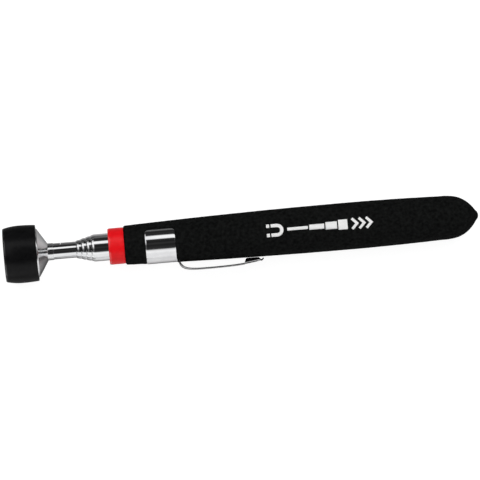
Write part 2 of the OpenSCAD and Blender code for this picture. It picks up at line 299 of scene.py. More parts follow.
# ------------ material tools
class Material:
    """A node material with one Principled shader, and short ways to add texture to it."""

    def __init__(self, name, color, roughness, metallic=0.0, specular=0.5):
        self.material = bpy.data.materials.new(name)
        self.material.use_nodes = True
        self.nodes = self.material.node_tree.nodes
        self.links = self.material.node_tree.links
        self.shader = self.nodes["Principled BSDF"]
        self.shader.inputs["Base Color"].default_value = (*color, 1)
        self.shader.inputs["Roughness"].default_value = roughness
        self.shader.inputs["Metallic"].default_value = metallic
        self.shader.inputs["Specular IOR Level"].default_value = specular
        self.coordinates = self.nodes.new("ShaderNodeTexCoord").outputs["Object"]
        self.bump_normal = None

    def stretched(self, stretch):
        """The object's coordinates, squeezed along an axis to draw a texture out along it."""
        mapping = self.nodes.new("ShaderNodeMapping")
        mapping.inputs["Scale"].default_value = stretch
        self.links.new(self.coordinates, mapping.inputs["Vector"])
        return mapping.outputs["Vector"]

    def noise(self, size_mm, detail=3.0, stretch=(1, 1, 1), roughness=0.5):
        """Noise whose features are about size_mm across."""
        node = self.nodes.new("ShaderNodeTexNoise")
        node.inputs["Scale"].default_value = 1 / (size_mm * MM)
        node.inputs["Detail"].default_value = detail
        node.inputs["Roughness"].default_value = roughness
        self.links.new(self.stretched(stretch), node.inputs["Vector"])
        return node.outputs["Fac"]

    def cells(self, size_mm):
        """Distance in a field of cells about size_mm across."""
        node = self.nodes.new("ShaderNodeTexVoronoi")
        node.inputs["Scale"].default_value = 1 / (size_mm * MM)
        self.links.new(self.coordinates, node.inputs["Vector"])
        return node.outputs["Distance"]

    def rings(self, pitch_mm):
        """Fine tool lines round the X axis, pitch_mm apart. The wave node turns 20 radians in each unit."""
        node = self.nodes.new("ShaderNodeTexWave")
        node.wave_type = "BANDS"
        node.bands_direction = "X"
        node.inputs["Scale"].default_value = 2 * math.pi / 20 / (pitch_mm * MM)
        node.inputs["Distortion"].default_value = 0.6
        node.inputs["Detail"].default_value = 2
        node.inputs["Detail Scale"].default_value = 3
        self.links.new(self.coordinates, node.inputs["Vector"])
        return node.outputs["Fac"]

    def between(self, texture, low, high, start=0.3, end=0.7):
        """A number from low to high as the texture goes from start to end."""
        node = self.nodes.new("ShaderNodeMapRange")
        node.inputs["From Min"].default_value = start
        node.inputs["From Max"].default_value = end
        node.inputs["To Min"].default_value = low
        node.inputs["To Max"].default_value = high
        self.links.new(texture, node.inputs["Value"])
        return node.outputs["Result"]

    def polished_edge(self, x_mm, width_mm, specular, roughness):
        """Gives a front edge at x_mm, width_mm wide, a stronger shine that fades into the piece's own."""
        split = self.nodes.new("ShaderNodeSeparateXYZ")
        self.links.new(self.coordinates, split.inputs["Vector"])
        start, end = x_mm * MM, (x_mm + width_mm) * MM
        for socket, edge_value in (("Specular IOR Level", specular), ("Roughness", roughness)):
            value = self.shader.inputs[socket].default_value
            fade = self.between(split.outputs["X"], edge_value, value, start, end)
            self.links.new(fade, self.shader.inputs[socket])
        return self

    def vary_roughness(self, texture, low, high, start=0.3, end=0.7):
        """Roughness from low to high as the texture goes from start to end."""
        self.links.new(self.between(texture, low, high, start, end), self.shader.inputs["Roughness"])
        return self

    def vary_color(self, texture, low, high, start=0.3, end=0.7):
        """Base colour from low to high as the texture goes from start to end."""
        ramp = self.nodes.new("ShaderNodeValToRGB")
        ramp.color_ramp.elements[0].position = start
        ramp.color_ramp.elements[1].position = end
        ramp.color_ramp.elements[0].color = (*low, 1)
        ramp.color_ramp.elements[1].color = (*high, 1)
        self.links.new(texture, ramp.inputs["Fac"])
        self.links.new(ramp.outputs["Color"], self.shader.inputs["Base Color"])
        return self

    def bump(self, texture, height_mm, strength=1.0):
        """Adds relief height_mm high. Later calls add to earlier ones."""
        node = self.nodes.new("ShaderNodeBump")
        node.inputs["Distance"].default_value = height_mm * MM
        node.inputs["Strength"].default_value = strength
        self.links.new(texture, node.inputs["Height"])
        if self.bump_normal:
            self.links.new(self.bump_normal, node.inputs["Normal"])
        self.bump_normal = node.outputs["Normal"]
        self.links.new(self.bump_normal, self.shader.inputs["Normal"])
        return self


def chrome_material():
    """Polished chrome plate with faint marks along the slide."""
    m = Material("chrome_plate", (0.82, 0.82, 0.83), 0.06, metallic=1.0)
    marks = m.noise(0.09, detail=4, stretch=(0.02, 1, 1))
    cloud = m.noise(6.0, detail=2)
    m.vary_roughness(marks, 0.045, 0.11, 0.35, 0.8)
    m.vary_color(cloud, (0.78, 0.785, 0.80), (0.85, 0.85, 0.855))
    return m.bump(marks, 0.0006)


def clip_material():
    """Chrome plated spring steel, a little softer than the tubes, with fine marks round the band."""
    m = Material("clip_plate", (0.80, 0.80, 0.81), 0.07, metallic=1.0)
    marks = m.noise(0.12, detail=4, stretch=(1, 0.05, 0.05))
    m.vary_roughness(marks, 0.045, 0.11, 0.35, 0.8)
    m.vary_color(m.noise(4.0, detail=3), (0.75, 0.75, 0.765), (0.84, 0.84, 0.845))
    return m.bump(marks, 0.0008)


def turned_steel_material():
    """Bright turned steel with tool lines."""
    m = Material("turned_steel", (0.8, 0.8, 0.81), 0.15, metallic=1.0)
    lines = m.rings(0.16)
    m.vary_roughness(m.noise(0.5, stretch=(4, 1, 1)), 0.1, 0.2)
    m.vary_color(lines, (0.75, 0.75, 0.76), (0.86, 0.86, 0.87), 0.1, 0.9)
    return m.bump(lines, 0.0012).bump(m.noise(0.08, stretch=(6, 1, 1)), 0.0006)


def plated_steel_material():
    """Zinc plated soft steel, cloudy and lightly pitted."""
    m = Material("plated_steel", (0.52, 0.53, 0.55), 0.34, metallic=1.0)
    m.vary_roughness(m.noise(0.6, detail=4), 0.26, 0.44)
    m.vary_color(m.noise(1.6, detail=4), (0.44, 0.45, 0.47), (0.62, 0.62, 0.62))
    return m.bump(m.noise(0.12, detail=2), 0.003)


def nickel_material():
    """Nickel plate on a ground magnet, with scratches from use."""
    m = Material("magnet_nickel", (0.66, 0.64, 0.59), 0.2, metallic=1.0)
    scratches = m.noise(0.05, detail=3, stretch=(1, 0.04, 1))
    m.vary_roughness(scratches, 0.14, 0.38, 0.4, 0.75)
    m.vary_color(m.noise(2.2, detail=4), (0.58, 0.56, 0.52), (0.72, 0.70, 0.65))
    return m.bump(scratches, 0.0015).bump(m.noise(0.15, detail=4), 0.002)


def resin_material():
    """Cast black resin, slightly uneven."""
    m = Material("potting_resin", (0.02, 0.02, 0.02), 0.45, specular=0.4)
    m.vary_color(m.noise(0.7, detail=3), (0.012, 0.012, 0.012), (0.03, 0.03, 0.029))
    m.vary_roughness(m.noise(0.5), 0.35, 0.6)
    return m.bump(m.noise(0.9, detail=2), 0.04)


def shield_material():
    """Black moulded plastic, glossy with a faint ripple and handling marks."""
    m = Material("shield_black", (0.004, 0.004, 0.0045), 0.3, specular=0.13)
    rub = m.noise(0.35, detail=6, stretch=(1, 0.35, 0.35), roughness=0.65)
    m.vary_color(m.noise(1.8, detail=5), (0.003, 0.003, 0.0034), (0.006, 0.006, 0.0064))
    m.polished_edge(SHIELD_GLOSS_X, SHIELD_GLOSS_FADE, specular=1.0, roughness=0.1)
    return m.bump(m.noise(3.0, detail=1), 0.02).bump(rub, 0.0015)


def plug_material():
    """Matt black moulded plastic."""
    m = Material("plug_black", (0.02, 0.02, 0.02), 0.55, specular=0.35)
    m.vary_color(m.noise(0.8, detail=4), (0.014, 0.014, 0.014), (0.028, 0.028, 0.028))
    return m.bump(m.noise(0.1, detail=2), 0.008)


def collar_material():
    """Glossy red plastic with a trace of moulding ripple."""
    m = Material("collar_red", (0.88, 0.008, 0.013), 0.3, specular=0.16)
    m.vary_color(m.noise(1.5, detail=3), (0.84, 0.007, 0.011), (0.94, 0.010, 0.016))
    m.polished_edge(COLLAR_X + COLLAR_BEVEL_LEN, COLLAR_GLOSS_FADE, specular=1.0, roughness=0.12)
    return m.bump(m.noise(0.25, detail=3), 0.0012)


def foam_material():
    """Matt black closed-cell foam: small cells under a thin skin."""
    m = Material("grip_foam", (0.005, 0.005, 0.005), 0.92, specular=0.03)
    cells = m.cells(FOAM_CELL)
    patches = m.noise(1.4, detail=5, roughness=0.6)
    m.vary_color(patches, (0.0032, 0.0033, 0.0033), (0.0104, 0.0110, 0.0107), 0.34, 0.66)
    m.vary_roughness(cells, 0.8, 1.0, 0.1, 0.7)
    return m.bump(cells, 0.05, 0.7).bump(m.noise(0.16, detail=3), 0.02)


def ink_material():
    """White printing ink that shows the grain of what it is printed on."""
    m = Material("mark_ink", (0.95, 0.95, 0.945), 0.6, specular=0.3)
    m.vary_color(m.noise(0.5, detail=5), (0.91, 0.91, 0.905), (0.98, 0.98, 0.975))
    return m.bump(m.cells(FOAM_CELL), 0.012)


def bronze_material():
    """Rolled phosphor bronze."""
    m = Material("spring_bronze", (0.60, 0.38, 0.19), 0.3, metallic=1.0)
    grain = m.noise(0.06, detail=3, stretch=(0.05, 1, 1))
    m.vary_color(m.noise(1.2, detail=4), (0.50, 0.31, 0.15), (0.66, 0.43, 0.22))
    m.vary_roughness(grain, 0.22, 0.42)
    return m.bump(grain, 0.002)


def brass_material():
    """Turned brass with tool lines."""
    m = Material("bush_brass", (0.76, 0.58, 0.28), 0.24, metallic=1.0)
    lines = m.rings(0.12)
    m.vary_color(m.noise(1.0, detail=4), (0.68, 0.50, 0.22), (0.82, 0.65, 0.34))
    m.vary_roughness(m.noise(0.4), 0.18, 0.34)
    return m.bump(lines, 0.004)


def paint(piece, material):
    """Puts one material on every slot of a piece or CAD node."""
    if not piece.data.materials:
        piece.data.materials.append(material)
    for piece_slot in piece.material_slots:
        piece_slot.material = material
    return piece


def stands_for(piece, slot, *nodes):
    """Hides the CAD nodes that a new piece replaces. The slot argument, the name of its finish, is not
    used.
    """
    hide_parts(*nodes)
    return piece


# ------------ head
def shield_radius(x):
    """Radius of the shield's barrel at x: half a parabola each side of its widest place."""
    middle = SHIELD_LEN / 2
    drop = SHIELD_FRONT_DROP if x < middle else SHIELD_BACK_DROP
    return SHIELD_R - drop * ((x - middle) / middle) ** 2


def make_shield(material):
    """The moulded sleeve round the magnet, with a round front edge and a square back edge."""
    bore = CUP_R + SHIELD_PLAY
    back_edge = 0.25
    back_taper = 0.02
    barrel = curve(shield_radius, SHIELD_ROUND, SHIELD_LEN - back_edge, 30)
    outline = rounded([
        (0, bore, 0.12),
        *front_round(0, shield_radius(SHIELD_ROUND), SHIELD_ROUND, 10),
        *barrel[1:],
        (SHIELD_LEN, shield_radius(SHIELD_LEN) - back_taper, 0.2),
        (SHIELD_LEN, bore, 0.1),
    ])
    piece = lathe("magnet_shield_skin", outline, ROD)
    return stands_for(paint(piece, material), "shield_plastic", "magnet_shield")


def make_pole_cup(material):
    """The steel cup round the magnet, with a countersunk hole for the rivet."""
    inner_r = CUP_R - CUP_WALL
    outline = rounded([
        (0, inner_r, 0.15),
        (0, CUP_R, 0.15),
        (CUP_DEPTH, CUP_R, 0.05),
        (CUP_DEPTH, RIVET_R, 0),
        (MAGNET_H + RIVET_HEAD_H, RIVET_R, 0),
        (MAGNET_H, RIVET_HEAD_R, 0),
        (MAGNET_H, inner_r, 0.1),
    ])
    piece = lathe("pole_cup_turned", outline, ROD)
    return stands_for(paint(piece, material), "cup_steel", "pole_cup")


def make_magnet(material):
    """The disc magnet."""
    outline = rounded([
        (0, 0, 0),
        (0, MAGNET_R, 0.3),
        (MAGNET_H, MAGNET_R, 0.1),
        (MAGNET_H, 0, 0),
    ])
    piece = lathe("magnet_disc", outline, ROD)
    return stands_for(paint(piece, material), "magnet_plating", "magnet")


def make_spacer(material):
    """The resin ring, sunk a little where it shrank as it set."""
    inner_r, outer_r = MAGNET_R, CUP_R - CUP_WALL
    middle = (inner_r + outer_r) / 2
    half = (outer_r - inner_r) / 2
    meniscus = [(SPACER_DEPTH + SPACER_SAG * (1 - ((r - middle) / half) ** 2), r, 0)
                for r in even_steps(inner_r, outer_r, 10)]
    outline = rounded([*meniscus, (MAGNET_H, outer_r, 0), (MAGNET_H, inner_r, 0)])
    piece = lathe("spacer_resin_ring", outline, ROD)
    return stands_for(paint(piece, material), "spacer_resin", "spacer_ring")


def make_housing(material):
    """The turned cone behind the shield, with its neck and the spigot that goes inside the rod."""
    rim = [(CONE_X + CONE_RIM_ROUND * math.sin(t), CUP_R - CONE_RIM_ROUND * (1 - math.cos(t)), 0)
           for t in even_steps(0, CONE_RIM_TURN, 8)]
    groove_r = SPIGOT_R - CRIMP_DEPTH
    outline = rounded([
        (RIVET_END, 0, 0),
        (RIVET_END, RIVET_R, 0),
        (CUP_DEPTH, RIVET_R, 0),
        (CUP_DEPTH, CUP_R, 0.05),
        *rim,
        (CONE_END, NECK_R, 0.35),
        (ROD_FRONT, NECK_R, 0.08),
        (ROD_FRONT, SPIGOT_R, 0),
        (CRIMP_X - GROOVE_HALF_LEN, SPIGOT_R, 0),
        (CRIMP_X - GROOVE_HALF_LEN + CRIMP_DEPTH, groove_r, 0),
        (CRIMP_X + GROOVE_HALF_LEN - CRIMP_DEPTH, groove_r, 0),
        (CRIMP_X + GROOVE_HALF_LEN, SPIGOT_R, 0),
        (SPIGOT_END, SPIGOT_R, 0.2),
        (SPIGOT_END, 0, 0),
    ])
    piece = lathe("magnet_housing_turned", outline, ROD)
    return stands_for(paint(piece, material), "turned_steel", "magnet_housing")


# ------------ telescope
def bead(k):
    """Corners of the stop bead near the back end of section k."""
    r = SECTION_R[k]
    x = extent(SECTION_NODES[k])[1].x - SPRING_LEN - BEAD_LEN
    return [
        (x, r, 0),
        (x + BEAD_SLOPE, r + BEAD_H, 0.05),
        (x + BEAD_LEN - BEAD_SLOPE, r + BEAD_H, 0.05),
        (x + BEAD_LEN, r, 0),
    ]


def lip_arc(front, inner_r, outer_r):
    """Shoulder of a rolled-in lip: an arc of a circle that runs out into the straight tube."""
    drop = outer_r - inner_r
    arc_r = (LIP_ROUND ** 2 + drop ** 2) / (2 * drop)
    steepest = math.asin(LIP_ROUND / arc_r)
    return [(front + LIP_ROUND - arc_r * math.sin(t), outer_r - arc_r * (1 - math.cos(t)), 0)
            for t in even_steps(steepest, 0, 20)]


def make_tube(k, material):
    """A tube with a rolled-in front lip."""
    front, back = (corner.x for corner in extent(SECTION_NODES[k]))
    r = SECTION_R[k]
    bore = r - TUBE_WALL
    lip_bore = SECTION_R[k - 1] + LIP_GAP
    outline = rounded([
        (front, lip_bore, 0),
        *lip_arc(front, lip_bore + LIP_FLAT, r),
        *(bead(k) if k < LAST_SECTION else []),
        (back, r, 0.1),
        (back, bore, 0.1),
        (front + LIP_T, bore, 0.1),
        (front + LIP_T, lip_bore, 0.1),
    ])
    piece = lathe(f"{SECTION_NODES[k]}_chromed", outline, SECTION_BODIES[k])
    return stands_for(paint(piece, material), "tube_chrome", SECTION_NODES[k])


def crimped_radius(x, r, angle):
    """Radius of the rod's outside with the crimp pressed into it."""
    outer = SECTION_R[1]
    if r < outer - TINY or abs(x - CRIMP_X) > CRIMP_REACH:
        return r
    away = math.hypot(x - CRIMP_X, outer * math.sin(angle - CRIMP_TURN))
    if math.cos(angle - CRIMP_TURN) < 0 or away > CRIMP_REACH:
        return r
    hollow = 1 - smooth_step(away, 0.15 * CRIMP_R, 1.05 * CRIMP_R)
    swell = math.exp(-((away - 1.25 * CRIMP_R) / (0.3 * CRIMP_R)) ** 2)
    return r - CRIMP_DEPTH * hollow + CRIMP_SWELL * swell


def make_rod(material):
    """The thinnest section, with the crimp that holds it on the housing's spigot."""
    front, back = (corner.x for corner in extent("inner_rod"))
    r = SECTION_R[1]
    bore = r - ROD_WALL
    near_crimp = [(x, r, 0) for x in even_steps(CRIMP_X - CRIMP_REACH, CRIMP_X + CRIMP_REACH, 32)]
    outline = rounded([
        (front, bore, 0.1),
        (front, r, 0.06),
        *near_crimp,
        *bead(1),
        (back, r, 0.1),
        (back, bore, 0.1),
    ])
    piece = lathe("inner_rod_chromed", outline, ROD, segments=2 * SEGMENTS, shape=crimped_radius)
    return stands_for(paint(piece, material), "tube_chrome", "inner_rod")


# ------------ collar and grip
def make_collar(material):
    """The red ring that covers the handle tube's front lip."""
    lip_bore = SECTION_R[LAST_SECTION - 1] + LIP_GAP
    bore = SECTION_R[LAST_SECTION]
    back = GRIP_X
    outline = rounded([
        (COLLAR_X, lip_bore, 0.2),
        (COLLAR_X, COLLAR_R - COLLAR_BEVEL, 0.25),
        (COLLAR_X + COLLAR_BEVEL_LEN, COLLAR_R, 0.3),
        (back - COLLAR_BACK_BEVEL_LEN, COLLAR_R, 0),
        (back, COLLAR_R - COLLAR_BACK_BEVEL, 0.3),
        (back, bore, 0.05),
        (COLLAR_X + COLLAR_LIP, bore, 0.05),
        (COLLAR_X + COLLAR_LIP, lip_bore, 0.05),
    ])
    piece = lathe("front_collar_moulded", outline, HANDLE)
    return stands_for(paint(piece, material), "collar_plastic", "front_collar")


def grip_radius(x):
    """Radius of the foam at x: a long taper forward, a shorter one back, then the nose."""
    if x < GRIP_WIDEST:
        return GRIP_R - (GRIP_R - GRIP_FRONT_R) * ((GRIP_WIDEST - x) / (GRIP_WIDEST - GRIP_X)) ** 2
    taper = GRIP_R - NOSE_DROP * ((min(x, NOSE_X) - GRIP_WIDEST) / (NOSE_X - GRIP_WIDEST)) ** 2
    if x < NOSE_X:
        return taper
    along = min(1.0, (x - NOSE_X) / NOSE_LEN)
    flank = NOSE_FLANK + (NOSE_TIP_FLANK - NOSE_FLANK) * smooth_step(along, NOSE_TIP_FROM, 1)
    return taper * (1 - along ** NOSE_FULLNESS) ** (1 / flank)


def turn_from_tongue(angle):
    """How far an angle is from the tongue's side (-Y), from 0 to half a turn."""
    return abs(angle - math.pi)


def band_tuck(turn):
    """How far the band comes in towards its two ends, which hold it to the foam."""
    past = max(0.0, turn - TUCK_START) * BAND_R
    return TUCK_SLOPE * (past ** 2 / (2 * TUCK_EASE) if past < TUCK_EASE else past - TUCK_EASE / 2)


def band_cover(x, angle):
    """1 under the clip's band, 0 clear of it, with a narrow slope at its edge."""
    outside_x = max(BAND_X - BAND_GAP - x, x - BAND_END - BAND_GAP)
    outside_turn = (turn_from_tongue(angle) - BAND_WRAP / 2) * BAND_R - BAND_GAP
    return 1 - smooth_step(max(outside_x, outside_turn), 0, BAND_EDGE_SLOPE)


def band_swell(x, angle):
    """How the foam beside the band is squeezed up, or drawn in where the band's ends press on it."""
    turn = turn_from_tongue(angle)
    outside_x = max(BAND_X - x, x - BAND_END, 0)
    outside_turn = max((turn - BAND_WRAP / 2) * BAND_R, 0)
    away = math.hypot(outside_x, outside_turn)
    return (SWELL_H - band_tuck(min(turn, BAND_WRAP / 2))) * math.exp(-(away / SWELL_REACH) ** 2)


def foam_grain(x, r, angle):
    """Unevenness of the foam's skin: broad waves and smaller ones."""
    point = Vector((x, r * math.cos(angle), r * math.sin(angle)))
    return 0.045 * noise.noise(point * 0.55) + 0.03 * noise.noise(point * 1.7)


def foam_radius(x, r, angle):
    """Outside of the foam, with its grain, the recess under the band and the swell beside it."""
    bore_edge = 0.3
    if r < SECTION_R[LAST_SECTION] + bore_edge:
        return r
    radius = r + foam_grain(x, r, angle)
    if abs(x - (BAND_X + BAND_END) / 2) > BAND_END - BAND_X:
        return radius
    cover = band_cover(x, angle)
    bed_r = BAND_R - CLIP_T - BAND_BED_GAP - band_tuck(turn_from_tongue(angle))
    return (radius + band_swell(x, angle)) * (1 - cover) + bed_r * cover


def foam_stations():
    """X of each ring of the foam's outside: close together at the ends and where the band's edges are."""
    pitch = 0.4
    close_pitch = 0.06
    clearance = 0.35
    edge_end = GRIP_X + GRIP_EDGE
    even = even_steps(edge_end, NOSE_X, round((NOSE_X - edge_end) / pitch))[1:]
    band_edges = (BAND_X - BAND_GAP, BAND_END + BAND_GAP)
    clear = [x for x in even if all(abs(x - edge) > clearance for edge in band_edges)]
    close = [edge + close_pitch * i for edge in band_edges for i in range(-4, 5)]
    nose = [NOSE_X + NOSE_LEN * math.sin(t) for t in even_steps(0, math.pi / 2, 48)[1:]]
    return sorted(clear + close) + nose


def make_grip(material):
    """The foam sleeve, closed at its nose."""
    inner_r = SECTION_R[LAST_SECTION]
    outside = [(x, grip_radius(x), 0) for x in foam_stations()]
    outline = rounded([
        (GRIP_X, inner_r, 0),
        *front_round(GRIP_X, grip_radius(GRIP_X + GRIP_EDGE), GRIP_EDGE, 8),
        *outside[:-1],
        (GRIP_END, 0, 0),
        (GRIP_BORE_END, 0, 0),
        (GRIP_BORE_END, inner_r, 0),
    ])
    piece = lathe("grip_foam_sleeve", outline, HANDLE, segments=SEGMENTS * 3 // 2, shape=foam_radius)
    return stands_for(paint(piece, material), "grip_foam", "grip_sleeve")


# ------------ pocket clip
def tongue_middle(x):
    """Distance from the axis to the tongue's middle line past its bend."""
    run = (x - TONGUE_BEND_END) / (TONGUE_END - TONGUE_BEND_END)
    curl = (x - TONGUE_END) / TIP_CURL_LEN + 1
    return TONGUE_OUT - CLIP_T / 2 - TONGUE_IN * max(0.0, run) ** 3 - TIP_CURL * max(0.0, curl) ** 2


def cubic(points, t):
    """The point at t of a cubic curve with four control points."""
    a, b, c, d = (Vector(p) for p in points)
    return a * (1 - t) ** 3 + b * 3 * t * (1 - t) ** 2 + c * 3 * t * t * (1 - t) + d * t ** 3


def tongue_path():
    """Middle line of the tongue as (x, distance from the axis), from the band's back edge to the tip."""
    root = CLIP_MIDDLE_R
    run = tongue_middle(TONGUE_BEND_END)
    bend = TONGUE_BEND_END - tongue_low.x
    controls = [
        (tongue_low.x + 0.05 * bend, root),
        (tongue_low.x + 0.1 * bend, root + 0.92 * (run - root)),
        (tongue_low.x + 0.33 * bend, run),
        (TONGUE_BEND_END, run),
    ]
    pitch = 0.35
    straight = even_steps(TONGUE_BEND_END, TONGUE_END, round((TONGUE_END - TONGUE_BEND_END) / pitch))
    path = [Vector((BAND_END + 0.25, root))]
    path += [cubic(controls, t) for t in even_steps(0, 1, 28)]
    path += [Vector((x, tongue_middle(x))) for x in straight[1:]]
    return path


def foot_press(x, across):
    """How far the pressed foot comes in towards the foam."""
    depth = max(0.0, tongue_middle(x) - grip_radius(x) - FOOT_GAP - CLIP_T / 2)
    along = 1 - smooth_step(abs(x - FOOT_X), 0.65 * FOOT_HALF_LEN, FOOT_HALF_LEN)
    sideways = 1 - smooth_step(abs(across), 0.45 * FOOT_HALF_W, FOOT_HALF_W)
    return depth * along * sideways


def tongue_half_width(x):
    """Half the tongue's width: flared from the band to its bend, round at the tip."""
    least = 0.02
    flare = TONGUE_FLARE * (1 - smooth_step(x, BAND_END + 1.0, TONGUE_BEND_END))
    tip = max(0.0, x - (TONGUE_END - TONGUE_HALF_W)) / TONGUE_HALF_W
    return (TONGUE_HALF_W + flare) * math.sqrt(max(0.0, 1 - tip ** 2)) + least


def clip_point_on_band(x, around):
    """A point of the band's middle surface, around millimetres along its arc from the tongue's middle."""
    # The back edge isn't rolled in where the tongue grows out of it
    beside_tongue = abs(around) > TONGUE_HALF_W + TONGUE_FLARE
    to_edge = min(x - BAND_X, BAND_END - x) if beside_tongue else x - BAND_X
    inward = BAND_EDGE_ROLL * max(0.0, 1 - to_edge / BAND_EDGE_REACH) ** 2
    turn = around / CLIP_MIDDLE_R
    r = CLIP_MIDDLE_R - inward - band_tuck(abs(turn))
    return Vector((x, -r * math.cos(turn), r * math.sin(turn)))


def clip_point_on_tongue(station, across):
    """A point of the tongue's middle surface: crowned like the band at its root, flatter past its bend."""
    x, out = station
    crown_r = CLIP_MIDDLE_R + TONGUE_FLATTER * smooth_step(x, BAND_END, TONGUE_CROWN_END)
    turn = across / crown_r
    sag = crown_r * (1 - math.cos(turn))
    return Vector((x, -(out - sag - foot_press(x, across)), crown_r * math.sin(turn)))


def band_rows(columns, half_arc, points, faces):
    """Adds the band's middle surface, with round corners at its ends. Returns its back edge's points.

    Each column runs along the tool, with its points closer together at the band's two edges.
    """
    rows = 26
    grid = []
    for around in columns:
        past = max(0.0, abs(around) - (half_arc - BAND_CORNER)) / BAND_CORNER
        inset = BAND_CORNER * (1 - math.sqrt(max(0.0, 1 - past ** 2)))
        low, high = BAND_X + inset, BAND_END - inset
        column = []
        for t in even_steps(0, math.pi, rows):
            column.append(len(points))
            points.append(clip_point_on_band(low + (high - low) * (1 - math.cos(t)) / 2, around))
        grid.append(column)
    for a, b in zip(grid, grid[1:]):
        faces += [(a[i], a[i + 1], b[i + 1], b[i]) for i in range(rows)]
    return [column[-1] for column in grid]


def tongue_rows(shares, root_row, points, faces):
    """Adds the tongue's middle surface, joined to root_row. A share is a place across it, from -1 to 1."""
    previous = root_row
    for station in tongue_path():
        half = tongue_half_width(station.x)
        current = []
        for share in shares:
            current.append(len(points))
            points.append(clip_point_on_tongue(station, half * share))
        faces += zip(previous, current, current[1:], previous[1:])
        previous = current


def thickened(piece):
    """Gives the middle surface of the clip its thickness and rounded edges."""
    thicken = piece.modifiers.new("thicken", "SOLIDIFY")
    thicken.thickness = CLIP_T * MM
    thicken.offset = 0
    thicken.use_even_offset = True
    round_edges = piece.modifiers.new("round_edges", "BEVEL")
    round_edges.width = CLIP_EDGE_ROUND * MM
    round_edges.segments = 3
    round_edges.limit_method = "ANGLE"
    round_edges.angle_limit = math.radians(50)
    solid_of(piece)
    piece.data.shade_smooth()
    return solid_of(even_normals(piece))


def make_clip(material):
    """Band and tongue as one bent sheet, made in columns that run along the tool."""
    half_arc = CLIP_MIDDLE_R * BAND_WRAP / 2
    root_half = tongue_half_width(BAND_END)
    shares = even_steps(-1, 1, 14)
    root = [root_half * share for share in shares]
    flank = [root_half + (half_arc - root_half) * math.sin(t) for t in even_steps(0, math.pi / 2, 44)[1:]]
    columns = [-around for around in reversed(flank)] + root + flank
    points = []
    faces = []
    back_edge = band_rows(columns, half_arc, points, faces)
    tongue_rows(shares, back_edge[len(flank):len(flank) + len(root)], points, faces)
    piece = thickened(paint(finish_mesh("pocket_clip", points, faces, None), material))
    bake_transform(piece)
    return stands_for(piece, "clip_chrome", "clip_band", "clip_spring")


# ------------ printed mark
MARK_CENTRE_Y = 0.9
MARK_HEIGHT = 5.6
MARK_START = 114.0
BARS_START = MARK_START + 9.0
BAR_WIDTHS = (1.3, 2.2, 3.2, 4.3)
BAR_LENGTHS = (9.0, 6.5, 5.0, 4.0)
BAR_GAP = 0.55
CHEVRON_GAP = 1.4               # between the bars and the first chevron
CHEVRON_PITCH = 3.1
CHEVRON_LEN = 2.2
CHEVRON_STROKE = 1.15
INK_PROUD = 0.07
INK_SUNK = 0.05


def on_foam(x, y, lift):
    """A point on the upper side of the foam, lift above its surface. y is measured round the surface."""
    r = grip_radius(x)
    turn = y / r
    return Vector((x, (r + lift) * math.sin(turn), (r + lift) * math.cos(turn)))


def stroke_rows(path, offsets, lift, points):
    """Adds a row of points across each point of the path, at the offsets, mitred where it turns."""
    rows = []
    last = len(path) - 1
    for i, place in enumerate(path):
        here = Vector(place)
        before = Vector(path[max(0, i - 1)])
        after = Vector(path[min(last, i + 1)])
        ahead = (after - before).normalized()
        side = Vector((-ahead.y, ahead.x))
        if 0 < i < last:
            leg = (here - before).normalized()
            side /= max(0.5, side.dot(Vector((-leg.y, leg.x))))
        row = []
        for offset in offsets:
            point = here + side * offset
            row.append(len(points))
            points.append(on_foam(point.x, point.y, lift))
        rows.append(row)
    return rows


def strip(row_a, row_b):
    """The faces between two rows of points."""
    return list(zip(row_a, row_b, row_b[1:], row_a[1:]))


def stroke(path, width, points, faces):
    """Adds a closed flat bar that follows a path of (x, y) points on the foam."""
    offsets = [width * share for share in even_steps(-0.5, 0.5, 4)]
    top = stroke_rows(path, offsets, INK_PROUD, points)
    bottom = stroke_rows(path, offsets, -INK_SUNK, points)
    for layer in (top, bottom):
        for a, b in zip(layer, layer[1:]):
            faces += strip(a, b)
    for side in (0, -1):
        faces += strip([row[side] for row in top], [row[side] for row in bottom])
    for end in (0, -1):
        faces += strip(top[end], bottom[end])


def line(start, end):
    """Points from start to end, about half a millimetre apart."""
    pitch = 0.5
    a, b = Vector(start), Vector(end)
    count = max(2, round((b - a).length / pitch))
    return [tuple(a.lerp(b, t)) for t in even_steps(0, 1, count)]


def horseshoe(x, points, faces):
    """A horseshoe magnet that opens towards -X, with its two pole tips set apart."""
    bar = 1.5
    tip_end = x + 1.4
    leg_start = x + 2.0
    centre_x = x + 4.6
    r = (MARK_HEIGHT - bar) / 2
    low, high = MARK_CENTRE_Y - r, MARK_CENTRE_Y + r
    bend = [(centre_x + r * math.sin(t), MARK_CENTRE_Y - r * math.cos(t))
            for t in even_steps(0, math.pi, 20)]
    near_leg = line((leg_start, low), (centre_x, low))
    far_leg = line((centre_x, high), (leg_start, high))
    stroke(near_leg[:-1] + bend + far_leg[1:], bar, points, faces)
    for y in (low, high):
        stroke(line((x, y), (tip_end, y)), bar, points, faces)


def stepped_bars(x, points, faces):
    """Four bars, each thicker than the last, like a telescope pulled out. Returns where they end."""
    for width, length in zip(BAR_WIDTHS, BAR_LENGTHS):
        stroke(line((x, MARK_CENTRE_Y), (x + length, MARK_CENTRE_Y)), width, points, faces)
        x += length + BAR_GAP
    return x


def chevrons(x, points, faces):
    """Three arrow heads that point along the tool."""
    half = MARK_HEIGHT / 2 - 0.5
    for i in range(3):
        start = x + CHEVRON_PITCH * i
        tip = (start + CHEVRON_LEN, MARK_CENTRE_Y)
        path = line((start, MARK_CENTRE_Y - half), tip)[:-1] + line(tip, (start, MARK_CENTRE_Y + half))
        stroke(path, CHEVRON_STROKE, points, faces)


